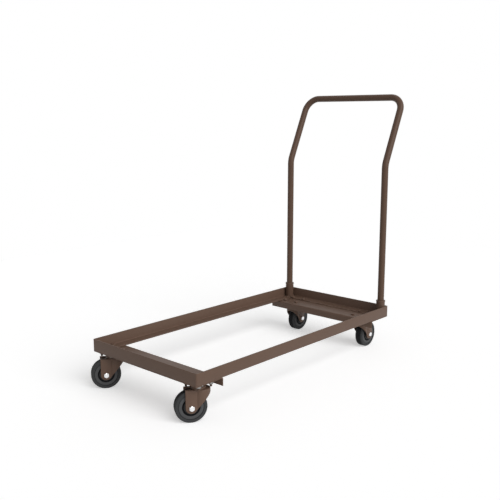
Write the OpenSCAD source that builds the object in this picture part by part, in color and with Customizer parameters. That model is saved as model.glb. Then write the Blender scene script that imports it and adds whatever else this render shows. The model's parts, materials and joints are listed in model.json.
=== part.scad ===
// Chair trolley: a welded angle frame on four swivel plate casters, with a lift-out tube handle.
// The front end lies at -X and the handle end at +X. The floor is Z = 0, and left is -Y.
// The origin is on the floor, at the centre of the whole trolley's outline.

/* [Frame] */
// Length of the frame over its end rails
frame_l = 1040; // [700:1:1400]
// Width of the frame over its side rails
frame_w = 503; // [460:1:700]
// Height of the angle's upright leg
leg_h = 40; // [30:1:60]
// Width of the angle's inward flange
flange_w = 40; // [38:1:50]
// Thickness of the angle
angle_t = 3; // [2:0.5:4]
// Outside radius of the frame's upright corners
corner_r = 5; // [4.5:0.5:12]

/* [Cross plates] */
// Thickness of the folded cross plates that carry the casters
cross_t = 3; // [2:0.5:5]
// Depth of the folded lip below the frame
lip_h = 27; // [15:1:60]
// Inside radius of the fold
fold_r = 2; // [1:0.5:5]
// Gap between the front casters' swing and the lip
front_lip_gap = 12; // [2:1:60]
// Gap between the rear casters' swing and the lip
rear_lip_gap = 3; // [2:1:60]

/* [Handle] */
// Outside diameter of the handle tube
tube_d = 25.4; // [20:0.1:32]
// Wall of the handle tube
tube_t = 1.5; // [1:0.1:3]
// Height of the grip bar's centre above the frame's underside
bar_h = 847; // [750:1:1000]
// Height of the lean bend above the frame's underside
bend_h = 593; // [400:1:680]
// Lean of the upper part, away from the load, in degrees
lean = 24.5; // [5:0.5:40]
// Centreline radius of the lean bends
bend_r = 80; // [40:1:150]
// Centreline radius of the top corners
top_r = 55; // [35:1:90]
// Wall of the handle sockets
socket_t = 3.8; // [2:0.1:5]
// Height of the sockets above the flange
socket_h = 60; // [40:1:90]
// How far the collar round a socket's mouth stands out
collar_out = 1; // [0.5:0.1:4]
// Height of that collar
collar_h = 5; // [2:0.5:12]
// Radial clearance of the handle tube in its sockets
socket_fit = 0.3; // [0.2:0.05:0.6]
// Gap between a socket's collar and the rails' upright legs
socket_gap = 0.2; // [0.1:0.1:3]
// Clearance under the foot of the handle tube
seat_gap = 0.2; // [0.1:0.05:0.4]

/* [Caster places] */
// Front kingpins, in from the front end
front_end_in = 48; // [46:1:90]
// Front kingpins, in from the sides
front_side_in = 43; // [40:1:90]
// Rear kingpins, in from the handle end
rear_end_in = 59; // [56:1:140]
// Rear kingpins, in from the sides
rear_side_in = 80; // [72:1:120]
// Way that the front wheels trail at rest, in degrees from +X
front_turn = 147; // [145:1:215]
// Way that the rear wheels trail at rest, in degrees from +X
rear_turn = 1; // [-30:1:30]

/* [Caster] */
// Distance from the kingpin to the axle, along the trail
trail = 25; // [22:0.5:30]
// Thickness of the pressed fork
fork_t = 2.5; // [2:0.1:3]
// Gap between the hub and each fork leg
hub_gap = 0.5; // [0.3:0.1:1.5]
// Radius of the fork's foot around the axle
foot_r = 18; // [14:0.5:20]
// Reach of the fork's nose ahead of the kingpin
nose_reach = 36.5; // [34:0.5:39]
// Radius of the fork's round front, seen from above
nose_r = 26.5; // [25.5:0.5:27.5]
// Distance ahead of the axle where the flat of a leg ends and the skirt begins
crease_in = 18; // [14:0.5:22]
// Depth of the fork at its nose
skirt_h = 12; // [8:1:24]
// Radius of the hollow leading edge of the fork's legs
edge_r = 350; // [150:10:600]
// How far the flat of a leg stands out from the crown's side
joggle = 1; // [0.5:0.1:1.5]
// Drop from the crown to the top of a leg's flat
shoulder_drop = 2.5; // [1:0.5:6]
// Width of the crown's flange over each leg, behind the swivel bearing
tail_flange = 9; // [5:0.5:14]
// Gap between the top of the wheel and the fork's crown
crown_gap = 3; // [2.5:0.5:10]
// Caster plate, along the trolley
plate_l = 70; // [68:1:74]
// Caster plate, across the trolley
plate_w = 76; // [74:1:80]
// Thickness of the caster plate
plate_t = 2.5; // [2:0.1:5]
// Corner radius of the caster plate
plate_r = 6; // [2:0.5:9]

/* [Swivel bearing] */
// Outside radius of the races
race_r = 23; // [22:0.5:25]
// Bore radius of the races
race_bore_r = 12; // [10:0.5:13]
// Height of each race
race_h = 8.4; // [5:0.1:10]
// Gap between the races, where the balls show
race_gap = 2.5; // [1.5:0.1:3]
// Diameter of the balls
ball_d = 6; // [4.5:0.1:7]
// Radius of the circle of balls
ball_circle_r = 17.5; // [17:0.1:18]
// Number of balls
ball_n = 12; // [8:1:14]
// Clearance of the balls in their grooves
ball_fit = 0.3; // [0.1:0.05:0.4]
// Diameter of the kingpin
kingpin_d = 12; // [8:0.5:14]
// Diameter of the kingpin's countersunk head
kingpin_head_d = 18; // [16:0.5:22]
// Width across the flats of the kingpin nut
kingpin_flats = 19; // [17:1:20]
// Thickness of the kingpin nut
kingpin_nut_h = 4; // [3:0.5:4.5]
// Length of the kingpin that stands out past its nut
kingpin_out = 1; // [0.5:0.1:1.5]
// End clearance between the kingpin nut and the crown
swivel_gap = 0.2; // [0.1:0.05:0.5]
// Radial running clearance of the kingpin and of the wheel
run_fit = 0.05; // [0.02:0.01:0.1]

/* [Wheel] */
// Diameter of the wheel
wheel_d = 100; // [90:1:125]
// Width of the tyre
tyre_w = 30; // [26:0.5:31]
// Radius of the tyre's shoulders
shoulder_r = 4; // [2:0.5:6]
// Diameter of the wheel core under the tyre
rim_d = 76; // [66:1:80]
// Set-back of the core's rim from the tyre's side
rim_set = 1; // [0.5:0.5:3]
// Length of the hub
hub_w = 36; // [34:0.5:40]
// Diameter of the hub
hub_d = 26; // [22:0.5:32]
// Thickness of the core's web
web_t = 8; // [5:0.5:14]
// Diameter of the dust covers
cover_d = 54; // [46:1:58]
// Thickness of the dust covers
cover_t = 2; // [1:0.5:3]
// Diameter of the axle sleeve
sleeve_d = 14; // [12.5:0.5:18]
// Diameter of the axle bolt
axle_d = 10; // [8:0.5:11]
// Width across the flats of the axle bolt's head and nut
axle_flats = 15; // [13.5:0.5:18]
// Height of the axle bolt's head
axle_head_h = 6.4; // [4:0.1:8]
// Height of the axle nut
axle_nut_h = 8; // [5:0.1:10]
// Length of the axle bolt that stands out past its nut
axle_out = 1; // [0.5:0.1:4]

/* [Fixing bolts] */
// Diameter of the caster bolts
bolt_d = 8; // [6:0.5:8.5]
// Clearance hole for the caster bolts
bolt_hole_d = 9; // [9:0.1:10]
// Spacing of the caster bolts, along the trolley
bolt_gap_x = 50; // [48:1:52]
// Spacing of the caster bolts, across the trolley
bolt_gap_y = 56; // [54:1:58]
// Width across the flats of the bolt heads and nuts
bolt_flats = 13; // [10:0.5:13.5]
// Height of the bolt heads
bolt_head_h = 5.3; // [4:0.1:7]
// Height of the nuts
nut_h = 6.5; // [5:0.1:7]
// Outside diameter of the spring washers
washer_d = 14; // [12:0.5:15]
// Thickness of the spring washers
washer_t = 1.6; // [1:0.1:2]
// Length of thread that stands out past a nut
thread_out = 2; // [0.5:0.5:2.5]
// Radial clearance of pieces that are slipped on a bolt, pin or sleeve
slip_fit = 0.05; // [0.02:0.01:0.15]

/* [Hidden] */
$fn = 96;
// Overrun of cutting shapes
cut = 1;
hex_sides = 6;
// Inside corners of the frame are at least this round, however thick the angle is
least_corner_r = 0.5;
// The handle's hoop is this much thinner than its posts and reaches this far into them, to join cleanly
hoop_step = 0.2;

// Heights, from the floor up
axle_z = wheel_d / 2;
crown_z = wheel_d + crown_gap;
crown_top = crown_z + fork_t;
upper_race_z = crown_top + race_h + race_gap;
plate_z = upper_race_z + race_h;
plate_top = plate_z + plate_t;
frame_z = plate_top + cross_t;
flange_z = frame_z + angle_t;
ball_z = crown_top + race_h + race_gap / 2;

// Fork, from the kingpin: half widths across and lengths along the trail
leg_in = hub_w / 2 + hub_gap;
leg_out = leg_in + fork_t;
crease_x = trail - crease_in;
tail_x = trail + foot_r;
crown_half = leg_out - joggle;
shoulder_z = crown_top - shoulder_drop;
nose_x = nose_r - nose_reach;

// Swing of a caster at the height of a lip: the fork's tail corner, or the wheel above the lip's edge
lip_over_axle = max(0, frame_z - lip_h - axle_z);
wheel_over_lip = sqrt(max(0, pow(wheel_d / 2, 2) - pow(lip_over_axle, 2)));
fork_swing = norm([tail_x, leg_out]);
wheel_swing = norm([trail + wheel_over_lip, tyre_w / 2]);
caster_swing = max(fork_swing, wheel_swing);
front_cross_l = front_end_in + caster_swing + front_lip_gap + cross_t;
rear_cross_l = rear_end_in + caster_swing + rear_lip_gap + cross_t;

// Handle
socket_d = tube_d + 2 * (socket_fit + socket_t);
post_in = angle_t + socket_gap + collar_out + socket_d / 2;
slant_l = (bar_h - bend_h) / cos(lean);
bend_run = bend_r * tan(lean / 2);
post_off = frame_w / 2 - post_in;

// The trolley's reach each way from the middle of the frame, and the place of that middle
front_off = frame_w / 2 - front_side_in;
rear_off = frame_w / 2 - rear_side_in;
flat_r = wheel_d / 2 - shoulder_r;
flat_w = tyre_w / 2 - shoulder_r;
wheel_reach_x = flat_r * abs(cos(front_turn)) + flat_w * abs(sin(front_turn)) + shoulder_r;
wheel_reach_y = flat_r * abs(sin(front_turn)) + flat_w * abs(cos(front_turn)) + shoulder_r;
front_reach = frame_l / 2 - front_end_in - trail * cos(front_turn) + wheel_reach_x;
rear_reach = frame_l / 2 - post_in + slant_l * sin(lean) + tube_d / 2;
left_reach = max(frame_w / 2, front_off - trail * sin(front_turn) + wheel_reach_y);
right_reach = max(frame_w / 2, front_off + trail * sin(front_turn) + wheel_reach_y);
frame_x = (front_reach - rear_reach) / 2;
frame_y = (left_reach - right_reach) / 2;
post_x = frame_x + frame_l / 2 - post_in;

// Casters: name, kingpin X, kingpin Y and the way that the wheel trails
front_x = frame_x - frame_l / 2 + front_end_in;
rear_x = frame_x + frame_l / 2 - rear_end_in;
CASTERS = [
  ["front_left", front_x, frame_y - front_off, front_turn],
  ["front_right", front_x, frame_y + front_off, front_turn],
  ["rear_left", rear_x, frame_y - rear_off, rear_turn],
  ["rear_right", rear_x, frame_y + rear_off, rear_turn]
];
BOLTS = [
  for (c = CASTERS, sx = [-1, 1], sy = [-1, 1])
    [c[1] + sx * bolt_gap_x / 2, c[2] + sy * bolt_gap_y / 2]
];

FRAME_NODES = [
  "side_rail_left", "side_rail_right", "end_rail_front", "end_rail_rear",
  "cross_plate_front", "cross_plate_rear", "handle_socket_left", "handle_socket_right",
  "caster_bolts", "caster_washers", "caster_nuts", "kingpin_nuts", "handle_tube"
];
CASTER_NODES = [
  "caster_plate", "kingpin", "fork", "lower_race", "bearing_balls", "axle_bolt", "axle_nut",
  "axle_sleeve", "wheel_core", "dust_covers", "tyre"
];

powder_coat = "#5c4a41";
zinc = "#d8dadc";
plain_steel = "#8f9092";
rubber = "#3c3e40";
core_plastic = "#2c2d2f";
cover_plastic = "#17181a";

// Hexagon prism, sized across its flats
module hex(flats, h) {
  cylinder(d = flats / cos(180 / hex_sides), h = h, $fn = hex_sides);
}

module ring(outer_r, inner_r, h) {
  difference() {
    cylinder(r = outer_r, h = h);
    translate([0, 0, -cut]) cylinder(r = inner_r, h = h + 2 * cut);
  }
}

// Rectangle with round corners, centred
module round_rect(l, w, r) {
  square([l - 2 * r, w], center = true);
  square([l, w - 2 * r], center = true);
  for (sx = [-1, 1], sy = [-1, 1])
    translate([sx * (l / 2 - r), sy * (w / 2 - r)]) circle(r);
}

// Puts a piece at a caster's kingpin, turned the way that its wheel trails
module at_caster(c) {
  translate([c[1], c[2], 0]) rotate([0, 0, c[3]]) children();
}

// Puts a piece on a caster's axle, with its own Z axis along the axle
module at_axle(c) {
  at_caster(c) translate([trail, 0, axle_z]) rotate([-90, 0, 0]) children();
}

// Frame

module bolt_holes() {
  for (b = BOLTS)
    translate([b[0], b[1], plate_z - cut]) cylinder(d = bolt_hole_d, h = frame_z + leg_h - plate_z);
}

module frame_outline(inset, z, h) {
  translate([frame_x, frame_y, z]) linear_extrude(h)
    round_rect(frame_l - 2 * inset, frame_w - 2 * inset, max(corner_r - inset, least_corner_r));
}

// The whole ring of angle, which the four rails are cut from
module frame_ring() {
  difference() {
    frame_outline(0, frame_z, leg_h);
    frame_outline(angle_t, flange_z, leg_h);
    translate([frame_x, frame_y, frame_z - cut]) linear_extrude(angle_t + 2 * cut)
      square([frame_l - 2 * flange_w, frame_w - 2 * flange_w], center = true);
    bolt_holes();
  }
}

// One side of the ring, cut off at 45 degrees at both ends; length along X, outer face at -Y
module mitre(l, w) {
  depth = flange_w + cut;
  translate([0, 0, frame_z - cut]) linear_extrude(leg_h + 2 * cut) polygon([
    [-l / 2 - cut, -w / 2 - cut],
    [l / 2 + cut, -w / 2 - cut],
    [l / 2 - depth, -w / 2 + depth],
    [-l / 2 + depth, -w / 2 + depth]
  ]);
}

module side_rail(side) {
  color(powder_coat) intersection() {
    frame_ring();
    translate([frame_x, frame_y, 0]) rotate([0, 0, side < 0 ? 0 : 180]) mitre(frame_l, frame_w);
  }
}

module end_rail(end) {
  color(powder_coat) intersection() {
    frame_ring();
    translate([frame_x, frame_y, 0]) rotate([0, 0, end * 90]) mitre(frame_w, frame_l);
  }
}

// Section of a cross plate: flat from the frame's end, then a fold and a lip downwards
module cross_section(l) {
  outer = fold_r + cross_t;
  difference() {
    union() {
      translate([0, -cross_t]) square([l - outer, cross_t]);
      translate([l - cross_t, -lip_h]) square([cross_t, lip_h - outer]);
      translate([l - outer, -outer]) intersection() {
        circle(outer);
        square(outer);
      }
    }
    translate([l - outer, -outer]) circle(fold_r);
  }
}

module cross_plate(end, l) {
  color(powder_coat) difference() {
    intersection() {
      translate([frame_x + end * frame_l / 2, frame_y, frame_z]) mirror([end > 0 ? 1 : 0, 0, 0])
        rotate([90, 0, 0]) linear_extrude(frame_w, center = true) cross_section(l);
      frame_outline(0, frame_z - lip_h - cut, lip_h + 2 * cut);
    }
    bolt_holes();
  }
}

module handle_socket(side) {
  bore_r = tube_d / 2 + socket_fit;
  color(powder_coat) translate([post_x, frame_y + side * post_off, flange_z]) {
    ring(socket_d / 2, bore_r, socket_h);
    translate([0, 0, socket_h - collar_h]) ring(socket_d / 2 + collar_out, bore_r, collar_h);
  }
}

// Handle

// Solid rods along the handle's centreline: two posts with their bends, and the hoop that they carry
module handle_rods(r) {
  foot_z = flange_z + seat_gap;
  post_l = frame_z + bend_h - bend_run - foot_z;
  hoop_z = foot_z + post_l;
  slant_run = slant_l - bend_run - top_r;
  hoop_r = r - hoop_step;
  for (side = [-1, 1]) translate([post_x, frame_y + side * post_off, foot_z]) {
    cylinder(r = r, h = post_l);
    translate([bend_r, 0, post_l]) rotate([90, 0, 180])
      rotate_extrude(angle = lean) translate([bend_r, 0]) circle(r);
  }
  translate([post_x + bend_r, frame_y, hoop_z]) rotate([0, lean, 0]) translate([-bend_r, 0, 0]) {
    for (side = [0, 1]) mirror([0, side, 0]) translate([0, post_off, 0]) {
      translate([0, 0, -hoop_step]) cylinder(r = hoop_r, h = slant_run + hoop_step);
      translate([0, -top_r, slant_run]) rotate([90, 0, 90])
        rotate_extrude(angle = 90) translate([top_r, 0]) circle(hoop_r);
    }
    translate([0, 0, slant_run + top_r]) rotate([90, 0, 0])
      cylinder(r = hoop_r, h = 2 * (post_off - top_r), center = true);
  }
}

module handle_tube() {
  color(powder_coat) difference() {
    handle_rods(tube_d / 2);
    handle_rods(tube_d / 2 - tube_t);
    for (side = [-1, 1]) translate([post_x, frame_y + side * post_off, flange_z])
      cylinder(d = tube_d - 2 * tube_t, h = socket_h);
  }
}

// Fixing bolts

// Height of a bolt head's seat: on the flange where the head reaches it, else on the cross plate
function head_z(b) =
  let (
    reach = flange_w + bolt_flats / 2 / cos(180 / hex_sides),
    end_in = frame_l / 2 - abs(b[0] - frame_x),
    side_in = frame_w / 2 - abs(b[1] - frame_y)
  )
  end_in < reach || side_in < reach ? flange_z : frame_z;

module caster_bolts() {
  end_z = plate_z - washer_t - nut_h - thread_out;
  color(powder_coat) for (b = BOLTS) {
    translate([b[0], b[1], head_z(b)]) hex(bolt_flats, bolt_head_h);
    translate([b[0], b[1], end_z]) cylinder(d = bolt_d, h = head_z(b) - end_z);
  }
}

module caster_washers() {
  color(plain_steel) for (b = BOLTS)
    translate([b[0], b[1], plate_z - washer_t]) ring(washer_d / 2, bolt_d / 2 + slip_fit, washer_t);
}

module caster_nuts() {
  color(plain_steel) for (b = BOLTS) translate([b[0], b[1], plate_z - washer_t - nut_h]) difference() {
    hex(bolt_flats, nut_h);
    translate([0, 0, -cut]) cylinder(d = bolt_d + 2 * slip_fit, h = nut_h + 2 * cut);
  }
}

// Casters

module ball_groove() {
  translate([0, 0, ball_z]) rotate_extrude() translate([ball_circle_r, 0]) circle(ball_d / 2 + ball_fit);
}

// Mounting plate with the upper race pressed on it
module caster_plate(c) {
  color(powder_coat) difference() {
    union() {
      translate([c[1], c[2], plate_z]) linear_extrude(plate_t) round_rect(plate_l, plate_w, plate_r);
      translate([c[1], c[2], upper_race_z]) cylinder(r = race_r, h = race_h);
    }
    translate([c[1], c[2], upper_race_z - cut]) cylinder(r = race_bore_r, h = race_h + cut);
    translate([c[1], c[2], 0]) {
      ball_groove();
      kingpin_shape(slip_fit);
    }
    bolt_holes();
  }
}

// Kingpin with its countersunk head flush with the plate; grow is the clearance around it
module kingpin_shape(grow) {
  end_z = crown_z - swivel_gap - kingpin_nut_h - kingpin_out;
  translate([0, 0, end_z]) cylinder(d = kingpin_d + 2 * grow, h = plate_top - end_z);
  translate([0, 0, plate_z])
    cylinder(d1 = kingpin_d + 2 * grow, d2 = kingpin_head_d + 2 * grow, h = plate_t);
}

module kingpin(c) {
  color(zinc) at_caster(c) kingpin_shape(0);
}

module kingpin_nuts() {
  color(zinc) for (c = CASTERS) at_caster(c)
    translate([0, 0, crown_z - swivel_gap - kingpin_nut_h]) difference() {
      hex(kingpin_flats, kingpin_nut_h);
      translate([0, 0, -cut]) cylinder(d = kingpin_d + 2 * slip_fit, h = kingpin_nut_h + 2 * cut);
    }
}

module lower_race(c) {
  color(powder_coat) at_caster(c) difference() {
    translate([0, 0, crown_top]) ring(race_r, race_bore_r, race_h);
    ball_groove();
  }
}

module bearing_balls(c) {
  color(zinc) at_caster(c) for (i = [0 : ball_n - 1])
    rotate([0, 0, i * 360 / ball_n]) translate([ball_circle_r, 0, ball_z]) sphere(d = ball_d);
}

// Outline of the fork's crown and skirt from above: a round bowl in front and straight sides behind it
module fork_plan(inset, tail) {
  half = crown_half - inset;
  translate([nose_x, 0]) circle(nose_r - inset);
  translate([nose_x, -half]) square([tail - nose_x, 2 * half]);
}

// Outline of the fork from the side, with a hollow leading edge that runs into the foot
module fork_side() {
  nose = [-nose_reach, crown_top - skirt_h];
  foot = [trail, axle_z];
  span = foot - nose;
  bend = acos((pow(edge_r, 2) + pow(norm(span), 2) - pow(edge_r + foot_r, 2)) / (2 * edge_r * norm(span)));
  way = atan2(span[1], span[0]) - bend;
  hollow = nose + edge_r * [cos(way), sin(way)];
  touch = foot + foot_r / (edge_r + foot_r) * (hollow - foot);
  difference() {
    union() {
      translate(foot) circle(foot_r);
      polygon([
        nose + [-cut, 0],
        [nose[0] - cut, crown_top],
        [tail_x, crown_top],
        [tail_x, axle_z],
        foot,
        touch
      ]);
    }
    translate(hollow) circle(edge_r);
  }
}

// Pulls an outline from the side out across the fork
module across(w) {
  rotate([90, 0, 0]) linear_extrude(w, center = true) children();
}

// Crown and skirt, as far as the legs' flats
module fork_cap() {
  intersection() {
    difference() {
      linear_extrude(crown_top) fork_plan(0, tail_x);
      translate([0, 0, -cut]) linear_extrude(crown_z + cut) fork_plan(fork_t, tail_x + cut);
    }
    across(2 * (leg_out + cut)) difference() {
      fork_side();
      translate([crease_x + fork_t, -cut]) square([tail_x, shoulder_z - fork_t + cut]);
    }
  }
}

// Flat of a leg, which stands out from the crown's side by the joggle
module fork_leg(side) {
  translate([0, side * (leg_in + fork_t / 2), 0]) across(fork_t) intersection() {
    fork_side();
    translate([crease_x, 0]) square([tail_x, shoulder_z]);
  }
}

// Notch in the crown over the wheel, between the legs
module tail_notch() {
  r = crown_half - tail_flange;
  translate([race_r + r, 0, crown_z - cut]) linear_extrude(fork_t + 2 * cut) {
    circle(r);
    translate([0, -r]) square([tail_x, 2 * r]);
  }
}

module fork(c) {
  color(powder_coat) at_caster(c) difference() {
    union() {
      fork_cap();
      for (side = [-1, 1]) fork_leg(side);
      translate([0, 0, crown_z]) cylinder(r = race_r, h = fork_t);
    }
    tail_notch();
    translate([0, 0, crown_z - cut]) cylinder(d = kingpin_d + 2 * run_fit, h = fork_t + 2 * cut);
    translate([trail, 0, axle_z]) rotate([90, 0, 0])
      cylinder(d = axle_d + 2 * slip_fit, h = 2 * (leg_out + cut), center = true);
  }
}

module axle_bolt(c) {
  color(zinc) at_axle(c) {
    translate([0, 0, -leg_out]) cylinder(d = axle_d, h = 2 * leg_out + axle_nut_h + axle_out);
    translate([0, 0, -leg_out - axle_head_h]) hex(axle_flats, axle_head_h);
  }
}

module axle_nut(c) {
  color(zinc) at_axle(c) translate([0, 0, leg_out]) difference() {
    hex(axle_flats, axle_nut_h);
    translate([0, 0, -cut]) cylinder(d = axle_d + 2 * slip_fit, h = axle_nut_h + 2 * cut);
  }
}

module axle_sleeve(c) {
  color(plain_steel) at_axle(c) translate([0, 0, -leg_in])
    ring(sleeve_d / 2, axle_d / 2 + slip_fit, 2 * leg_in);
}

module wheel_core(c) {
  rim_w = tyre_w - 2 * rim_set;
  bore_r = sleeve_d / 2 + run_fit;
  color(core_plastic) at_axle(c) rotate_extrude() {
    translate([bore_r, -hub_w / 2]) square([hub_d / 2 - bore_r, hub_w]);
    translate([bore_r, -web_t / 2]) square([rim_d / 2 - bore_r, web_t]);
    translate([cover_d / 2, -rim_w / 2]) square([(rim_d - cover_d) / 2, rim_w]);
  }
}

// Two rings that close the core's hollow sides, flush with the rim
module dust_covers(c) {
  color(cover_plastic) at_axle(c) for (side = [0, 1]) mirror([0, 0, side])
    translate([0, 0, tyre_w / 2 - rim_set - cover_t]) ring(cover_d / 2, hub_d / 2, cover_t);
}

module tyre(c) {
  tread = wheel_d / 2 - rim_d / 2;
  color(rubber) at_axle(c) rotate_extrude() translate([rim_d / 2, 0]) {
    translate([0, -tyre_w / 2]) square([tread - shoulder_r, tyre_w]);
    translate([0, shoulder_r - tyre_w / 2]) square([tread, tyre_w - 2 * shoulder_r]);
    for (side = [-1, 1])
      translate([tread - shoulder_r, side * (tyre_w / 2 - shoulder_r)]) circle(shoulder_r);
  }
}

side_rail(-1);  // side_rail_left
side_rail(1);  // side_rail_right
end_rail(-1);  // end_rail_front
end_rail(1);  // end_rail_rear
cross_plate(-1, front_cross_l);  // cross_plate_front
cross_plate(1, rear_cross_l);  // cross_plate_rear
handle_socket(-1);  // handle_socket_left
handle_socket(1);  // handle_socket_right
caster_bolts();
caster_washers();
caster_nuts();
kingpin_nuts();
handle_tube();
for (c = CASTERS) {
  caster_plate(c);
  kingpin(c);
  fork(c);
  lower_race(c);
  bearing_balls(c);
  axle_bolt(c);
  axle_nut(c);
  axle_sleeve(c);
  wheel_core(c);
  dust_covers(c);
  tyre(c);
}
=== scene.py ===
import json
import math

import bmesh
import bpy
from mathutils import Matrix, Vector


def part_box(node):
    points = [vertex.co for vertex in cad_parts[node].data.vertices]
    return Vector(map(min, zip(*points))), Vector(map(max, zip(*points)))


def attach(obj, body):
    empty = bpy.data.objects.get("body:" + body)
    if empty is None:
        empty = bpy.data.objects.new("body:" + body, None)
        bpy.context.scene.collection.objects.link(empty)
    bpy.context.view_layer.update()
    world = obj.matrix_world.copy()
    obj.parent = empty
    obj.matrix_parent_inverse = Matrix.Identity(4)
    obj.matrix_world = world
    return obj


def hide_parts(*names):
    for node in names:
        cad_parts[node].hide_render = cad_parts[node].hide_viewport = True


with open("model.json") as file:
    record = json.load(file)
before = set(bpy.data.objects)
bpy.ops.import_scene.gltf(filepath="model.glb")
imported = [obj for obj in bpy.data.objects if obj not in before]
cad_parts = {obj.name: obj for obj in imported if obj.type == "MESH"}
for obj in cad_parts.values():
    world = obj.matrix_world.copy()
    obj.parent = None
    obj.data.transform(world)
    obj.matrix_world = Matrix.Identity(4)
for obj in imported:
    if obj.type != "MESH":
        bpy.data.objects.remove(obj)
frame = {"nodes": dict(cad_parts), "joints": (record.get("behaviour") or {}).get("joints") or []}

bl_info = {
    "name": "Chair Trolley",
    "version": (1, 0, 0),
    "blender": (4, 5, 0),
    "location": "View3D > Sidebar > Trolley",
    "description": "Models and paints a chair trolley around its CAD frame, and lights it in a studio",
    "category": "Object",
}

MM = 0.001

# Places closer than these count as one: in a test, and when vertices are merged
NEAR = 0.01 * MM
MERGED = 0.001 * MM

# How far a cutter reaches past what it cuts
SPARE = MM

# Faces round the turned and bent pieces
WHEEL_STEPS = 96
RACE_STEPS = 56
HEX_STEPS = 48
TUBE_STEPS = 40
WASHER_STEPS = 34
BORE_STEPS = 32
BOWL_STEPS = 28
THREAD_STEPS = 24
FOOT_STEPS = 20
HOLLOW_STEPS = 16
NOTCH_STEPS = 16
TOP_STEPS = 16
LEAN_STEPS = 10
SHOULDER_STEPS = 8
ROOT_STEPS = 5
TOE_STEPS = 3

# A hexagon's chamfer: its slope, the radius where it starts as a share of the flats, and its rounding
CHAMFER = math.radians(30)
CHAMFER_SHARE = 0.475
HEX_EDGE = 0.15 * MM

# The depth of a thread as a share of its pitch, and the gap in a spring washer
THREAD_SHARE = 0.6
WASHER_SLIT = math.radians(10)

# Sizes and places that come from the frame, in metres

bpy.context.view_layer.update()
CORNERS = ("front_left", "front_right", "rear_left", "rear_right")
SIDES = ("left", "right")
JOINTS = {joint["name"]: joint for joint in frame["joints"]}
KINGPIN = {corner: Vector(JOINTS["swivel_" + corner]["pos_m"]) for corner in CORNERS}
AXLE = {corner: Vector(JOINTS["roll_" + corner]["pos_m"]) for corner in CORNERS}

X = Vector((1, 0, 0))
Y = Vector((0, 1, 0))
Z = Vector((0, 0, 1))
ORIGIN = Vector((0, 0, 0))


def low(node):
    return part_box(node)[0]


def high(node):
    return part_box(node)[1]


def middle(node):
    return (low(node) + high(node)) / 2


def span(node, axis):
    return getattr(high(node), axis) - getattr(low(node), axis)


FRAME_L = high("end_rail_rear").x - low("end_rail_front").x
FRAME_W = high("side_rail_right").y - low("side_rail_left").y
FRAME_X = high("end_rail_rear").x - FRAME_L / 2
FRAME_Y = high("side_rail_right").y - FRAME_W / 2
FRAME_Z = low("side_rail_left").z
LEG_H = span("side_rail_left", "z")
FLANGE_W = span("side_rail_left", "y")
FLANGE_Z = low("handle_socket_left").z
ANGLE_T = FLANGE_Z - FRAME_Z

PLATE_TOP = high("caster_plate_rear_left").z
CROSS_T = FRAME_Z - PLATE_TOP
LIP_H = FRAME_Z - low("cross_plate_front").z

POST_X = middle("handle_socket_left").x
POST_OFF = middle("handle_socket_right").y - FRAME_Y
TUBE_R = high("handle_tube").y - FRAME_Y - POST_OFF
FOOT_Z = low("handle_tube").z
BAR_Z = high("handle_tube").z - TUBE_R
SOCKET_TOP = high("handle_socket_left").z
COLLAR_R = POST_X - low("handle_socket_left").x

TRAIL = (AXLE["rear_left"] - KINGPIN["rear_left"]).xy.length
AXLE_Z = AXLE["rear_left"].z
CROWN_TOP = high("fork_rear_left").z
RACE_H = high("lower_race_rear_left").z - CROWN_TOP
RACE_R = middle("lower_race_rear_left").x - low("lower_race_rear_left").x
UPPER_RACE_Z = low("caster_plate_rear_left").z
PLATE_L = span("caster_plate_rear_left", "x")
PLATE_W = span("caster_plate_rear_left", "y")


def caster_place(corner):
    """From a caster's own frame, with the kingpin on Z and the wheel trailing to +X, to its corner."""
    trail = AXLE[corner] - KINGPIN[corner]
    swing = math.atan2(trail.y, trail.x)
    return Matrix.Translation((KINGPIN[corner].x, KINGPIN[corner].y, 0)) @ Matrix.Rotation(swing, 4, "Z")


def axle_place(corner):
    """From an axle's own frame, with the wheel's axis on Y, to its corner."""
    return caster_place(corner) @ Matrix.Translation((TRAIL, 0, AXLE_Z))


def axle_box(part):
    """Lowest and highest corner of a part of the rear left wheel, in the axle's own frame."""
    node = frame["nodes"][part + "_rear_left"]
    back = axle_place("rear_left").inverted() @ node.matrix_world
    spans = list(zip(*(back @ vertex.co for vertex in node.data.vertices)))
    return Vector([min(span) for span in spans]), Vector([max(span) for span in spans])


WHEEL_R = axle_box("tyre")[1].z
TYRE_W = 2 * axle_box("tyre")[1].y
RIM_R = axle_box("wheel_core")[1].z
HUB_W = 2 * axle_box("wheel_core")[1].y
COVER_R = axle_box("dust_covers")[1].z
COVER_OUT = axle_box("dust_covers")[1].y
LEG_OUT = axle_box("axle_nut")[0].y

PLATE_Z = high("caster_washers").z
WASHER_T = span("caster_washers", "z")
NUT_H = span("caster_nuts", "z")
BOLT_END_Z = low("caster_bolts").z
BOLT_HEAD_H = high("caster_bolts").z - FLANGE_Z
KINGPIN_NUT_Z = low("kingpin_nuts").z
KINGPIN_NUT_H = span("kingpin_nuts", "z")
AXLE_NUT_H = axle_box("axle_nut")[1].y - LEG_OUT
AXLE_HEAD_Y = axle_box("axle_bolt")[0].y
AXLE_END_Y = axle_box("axle_bolt")[1].y


# Values that a user would change


def length(name, description, millimetres):
    return bpy.props.FloatProperty(
        name=name, description=description, default=millimetres * MM, min=0.0, unit="LENGTH", precision=4
    )


def colour(name, description, red, green, blue):
    return bpy.props.FloatVectorProperty(
        name=name, description=description, default=(red, green, blue), min=0.0, max=1.0, subtype="COLOR"
    )


def share(name, description, value):
    return bpy.props.FloatProperty(
        name=name, description=description, default=value, min=0.0, max=1.0, subtype="FACTOR"
    )


def amount(name, description, value):
    return bpy.props.FloatProperty(name=name, description=description, default=value, min=0.0)


def rotation(name, description, radians):
    return bpy.props.FloatProperty(name=name, description=description, default=radians, subtype="ANGLE")


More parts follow.
